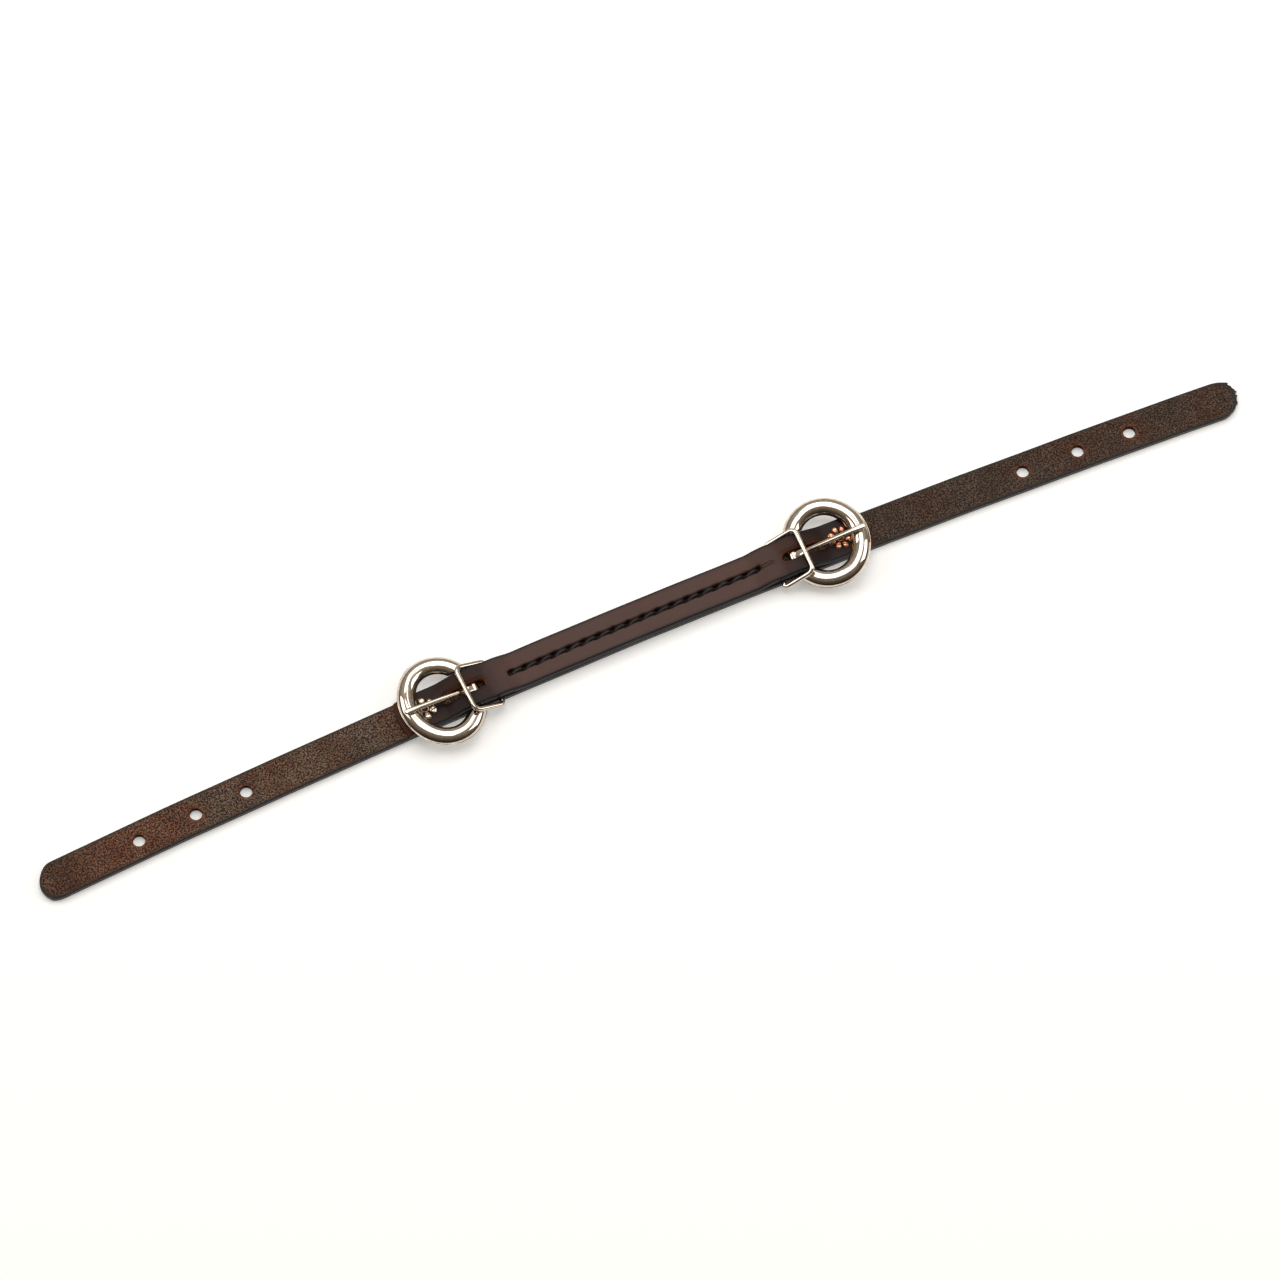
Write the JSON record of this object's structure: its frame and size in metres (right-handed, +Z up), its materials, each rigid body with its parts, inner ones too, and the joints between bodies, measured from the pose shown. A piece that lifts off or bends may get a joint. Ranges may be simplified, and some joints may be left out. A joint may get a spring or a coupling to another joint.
{
  "type": "cinch connector strap",
  "caption": "Stitched leather strap with a ring buckle, loose wire keeper and punched billet at each end, for joining the front and rear cinches of a western saddle.",
  "frame": {"origin": "on the plane the strap lies on, midway between the two tips of the strap (bottom centre of the bounding box)", "axes": "+X along the strap towards the right billet, +Y across the strap towards the convex side of its slight bow, +Z up out of the cover strap's grain side"},
  "size_m": [0.5228, 0.0392, 0.0137],
  "materials": {
    "flesh_leather": "rough flesh side, dyed dark brown with orange-brown fibres showing",
    "grain_leather": "smooth oiled grain side, burnished black edges",
    "thread": "twisted black waxed thread",
    "nickel": "polished nickel plate",
    "rivet_metal": "plated tubular rivet, petals bent open, warm reflections"
  },
  "bodies": {
    "straps": {"under_strap": "flesh_leather", "cover_strap": "grain_leather", "needle_thread": "thread", "bobbin_thread": "thread", "right_rivet": "rivet_metal", "left_rivet": "rivet_metal"},
    "right_buckle": {"right_frame": "nickel"},
    "right_prong": {"right_tongue": "nickel"},
    "right_loop": {"right_keeper": "nickel"},
    "left_buckle": {"left_frame": "nickel"},
    "left_prong": {"left_tongue": "nickel"},
    "left_loop": {"left_keeper": "nickel"}
  },
  "joints": [
    {"name": "right_ring_hinge", "type": "hinge", "parent": "straps", "child": "right_buckle", "pos_m": [0.069, 0.00028, 0.00455], "axis": [-0.0185, -0.9998, 0], "range_deg": [0, 8]},
    {"name": "right_keeper_swing", "type": "hinge", "parent": "straps", "child": "right_loop", "pos_m": [0.0609, 0.00043, 0.00405], "axis": [-0.0185, -0.9998, 0], "range_deg": [0, 80]},
    {"name": "right_tongue_hinge", "type": "hinge", "parent": "right_buckle", "child": "right_prong", "pos_m": [0.069, 0.00028, 0.00455], "axis": [-0.0185, -0.9998, 0], "range_deg": [0, 80]},
    {"name": "left_ring_hinge", "type": "hinge", "parent": "straps", "child": "left_buckle", "pos_m": [-0.0709, 0.00025, 0.00455], "axis": [-0.0189, 0.9998, 0], "range_deg": [0, 8]},
    {"name": "left_keeper_swing", "type": "hinge", "parent": "straps", "child": "left_loop", "pos_m": [-0.0628, 0.0004, 0.00405], "axis": [-0.0189, 0.9998, 0], "range_deg": [0, 80]},
    {"name": "left_tongue_hinge", "type": "hinge", "parent": "left_buckle", "child": "left_prong", "pos_m": [-0.0709, 0.00025, 0.00455], "axis": [-0.0189, 0.9998, 0], "range_deg": [0, 80]}
  ],
  "couplings": [
    {"joint": "right_tongue_hinge", "follows": "right_keeper_swing", "ratio": 1},
    {"joint": "left_tongue_hinge", "follows": "left_keeper_swing", "ratio": 1}
  ]
}
